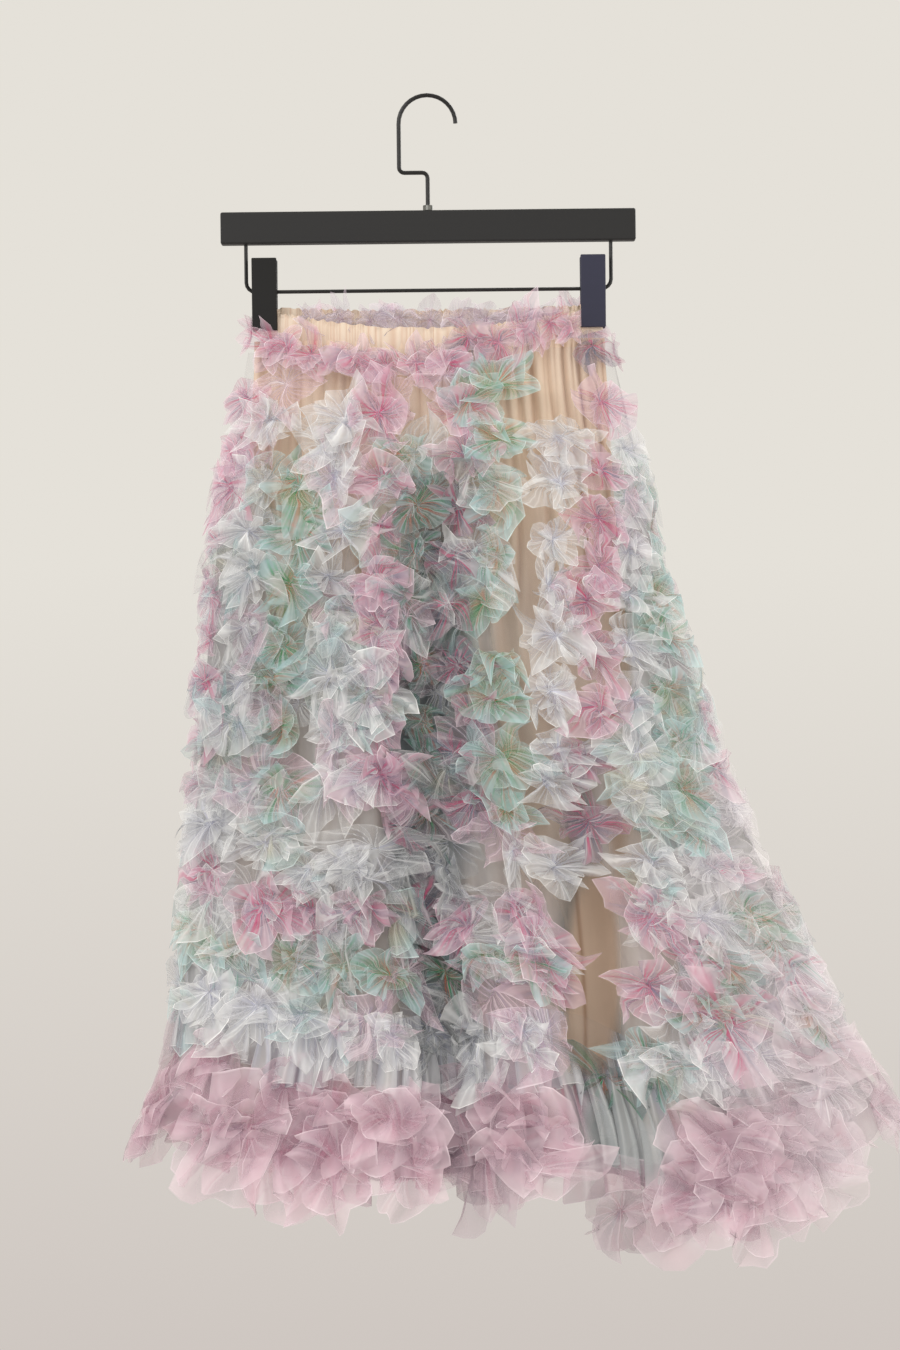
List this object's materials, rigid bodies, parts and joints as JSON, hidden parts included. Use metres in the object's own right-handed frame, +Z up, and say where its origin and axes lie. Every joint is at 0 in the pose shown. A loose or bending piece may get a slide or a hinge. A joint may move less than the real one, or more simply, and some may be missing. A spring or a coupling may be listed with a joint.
{
  "type": "petal skirt on a clip hanger",
  "caption": "Flared elastic-waist skirt covered with pinched tulle petal rosettes over a gathered lining, clipped by its waistband under a black bar hanger.",
  "frame": {"origin": "under the top of the hanger's hook, where the hook rests on what carries it", "axes": "+Z up along the skirt's length, front of the skirt towards -Y, +X to the right as seen from the front"},
  "size_m": [0.6441, 0.1852, 0.959],
  "materials": {
    "hanger_bar": "matte black soft-touch lacquer",
    "hanger_wire": "satin black powder coat on steel wire",
    "clip_jaws": "matte black lacquer",
    "steel": "plain steel",
    "lining": "nude satin-faced lining, fine weave",
    "sheer_petals": "sheer tulle in white, mint and rose with coloured streaks",
    "rose_petals": "sheer rose tulle with coloured streaks"
  },
  "bodies": {
    "root": {"hanger_bar": "hanger_bar", "hanger_hook": "hanger_wire", "hook_collar": "steel", "clip_rail": "hanger_wire", "left_clip_front_jaw": "clip_jaws", "left_clip_back_jaw": "clip_jaws", "left_clip_spring": "steel", "right_clip_front_jaw": "clip_jaws", "right_clip_back_jaw": "clip_jaws", "right_clip_spring": "steel", "waistband_front": "lining", "waistband_back": "lining", "lining_front": "lining", "lining_back": "lining", "petal_layer_front": "sheer_petals", "petal_layer_back": "sheer_petals", "waist_frill_front": "rose_petals", "waist_frill_back": "rose_petals", "hem_frill_front": "rose_petals", "hem_frill_back": "rose_petals"}
  },
  "joints": []
}
